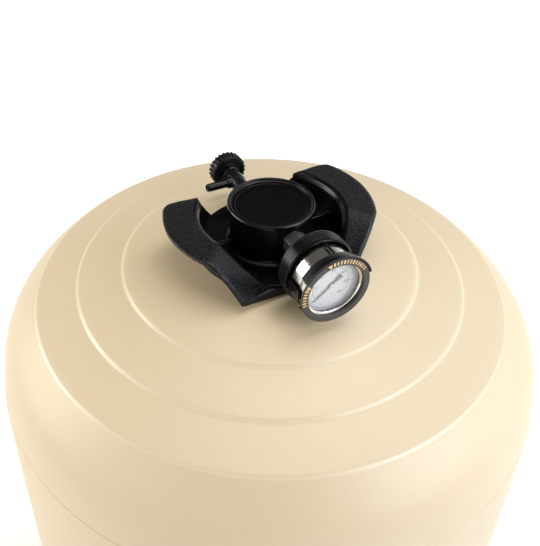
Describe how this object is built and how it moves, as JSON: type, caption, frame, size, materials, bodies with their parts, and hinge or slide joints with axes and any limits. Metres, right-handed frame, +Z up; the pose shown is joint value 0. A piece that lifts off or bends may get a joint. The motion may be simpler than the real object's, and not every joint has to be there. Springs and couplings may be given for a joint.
{
  "type": "sand filter tank",
  "caption": "Upright moulded sand filter tank with stepped dome, winged screw-in lid, pressure gauge, air relief valve, side ports, inner piping and drain.",
  "frame": {"origin": "centre of the foot ring's resting face, on the tank's axis", "axes": "+Z up along the tank's axis; ports point to +Y, drain to -Y; the gauge faces 61.5 degrees from +X towards -Y"},
  "size_m": [0.61, 0.7488, 0.9529],
  "materials": {
    "tank_plastic": "moulded, satin, light tan",
    "foot_plastic": "moulded black, fine texture",
    "closure_plastic": "moulded black, glossy, pebbled wing tops",
    "fitting_plastic": "moulded black",
    "knob_plastic": "moulded black, glossy",
    "pipe_plastic": "white pipe plastic",
    "rubber_black": "black moulded rubber",
    "gauge_steel": "polished stainless",
    "gauge_brass": "machined brass",
    "dial_white": "white enamel with black marks",
    "needle_black": "matte black",
    "lens_clear": "clear",
    "marker_plastic": "black with gold marks",
    "stem_steel": "turned stainless"
  },
  "bodies": {
    "tank": {"tank_shell": "tank_plastic", "base_foot": "foot_plastic", "neck_insert": "fitting_plastic", "upper_bulkhead": "fitting_plastic", "upper_bulkhead_gasket": "rubber_black", "upper_bulkhead_washer": "rubber_black", "upper_bulkhead_nut": "fitting_plastic", "lower_bulkhead": "fitting_plastic", "lower_bulkhead_gasket": "rubber_black", "lower_bulkhead_washer": "rubber_black", "lower_bulkhead_nut": "fitting_plastic", "inlet_elbow": "pipe_plastic", "inlet_standpipe": "pipe_plastic", "inlet_diffuser": "pipe_plastic", "outlet_pipe": "pipe_plastic", "lateral_hub": "pipe_plastic", "laterals": "pipe_plastic", "air_bleed_tube": "pipe_plastic", "air_bleed_strainer": "pipe_plastic", "drain_spigot": "fitting_plastic", "drain_gasket": "rubber_black", "drain_lock_nut": "fitting_plastic", "drain_screen": "pipe_plastic"},
    "closure_seal": {"closure_oring": "rubber_black"},
    "closure": {"closure": "closure_plastic", "hub_cap": "closure_plastic", "gauge_collar": "closure_plastic", "gauge_socket": "gauge_brass", "gauge_case": "gauge_steel", "bourdon_tube": "gauge_brass", "gauge_movement": "gauge_brass", "gauge_dial": "dial_white", "lens_gasket": "rubber_black", "gauge_lens": "lens_clear", "gauge_bezel": "gauge_steel", "relief_valve_body": "knob_plastic", "relief_body_oring": "rubber_black"},
    "marker": {"marker_ring": "marker_plastic"},
    "needle": {"gauge_needle": "needle_black"},
    "sector": {"sector_gear": "gauge_brass"},
    "relief_seal": {"relief_stem_oring": "rubber_black"},
    "relief_screw": {"relief_stem": "stem_steel", "relief_knob": "knob_plastic"},
    "drain_seal": {"drain_cap_oring": "rubber_black"},
    "drain_screw": {"drain_cap": "fitting_plastic"}
  },
  "joints": [
    {"name": "closure_lift", "type": "slide", "parent": "tank", "child": "closure_seal", "axis": [0, 0, 1], "range_m": [0, 0.024]},
    {"name": "closure_turn", "type": "hinge", "parent": "closure_seal", "child": "closure", "pos_m": [0, 0, 0.874], "axis": [0, 0, 1], "range_deg": [0, 1080]},
    {"name": "marker_turn", "type": "hinge", "parent": "closure", "child": "marker", "pos_m": [0.06108, -0.11249, 0.9135], "axis": [0.4772, -0.8788, 0], "continuous": true},
    {"name": "needle_turn", "type": "hinge", "parent": "closure", "child": "needle", "pos_m": [0.05917, -0.10897, 0.9135], "axis": [-0.4772, 0.8788, 0], "range_deg": [0, 270], "stiffness_Nm_per_rad": 0.0002, "springref_deg": -34.38},
    {"name": "sector_turn", "type": "hinge", "parent": "closure", "child": "sector", "pos_m": [0.04668, -0.09846, 0.89715], "axis": [-0.4772, 0.8788, 0], "range_deg": [-33.75, 0]},
    {"name": "relief_lift", "type": "slide", "parent": "closure", "child": "relief_seal", "axis": [-0.4772, 0.8788, 0], "range_m": [0, 0.005]},
    {"name": "relief_turn", "type": "hinge", "parent": "relief_seal", "child": "relief_screw", "pos_m": [-0.04963, 0.0914, 0.904], "axis": [-0.4772, 0.8788, 0], "range_deg": [0, 900]},
    {"name": "drain_lift", "type": "slide", "parent": "tank", "child": "drain_seal", "axis": [0, -1, 0], "range_m": [0, 0.012]},
    {"name": "drain_turn", "type": "hinge", "parent": "drain_seal", "child": "drain_screw", "pos_m": [0, -0.33, 0.168], "axis": [0, -1, 0], "range_deg": [0, 1080]}
  ],
  "couplings": [
    {"joint": "closure_lift", "follows": "closure_turn", "m_per_rad": 0.0012732},
    {"joint": "relief_lift", "follows": "relief_turn", "m_per_rad": 0.00031831},
    {"joint": "drain_lift", "follows": "drain_turn", "m_per_rad": 0.00063662},
    {"joint": "sector_turn", "follows": "needle_turn", "ratio": -0.125}
  ]
}
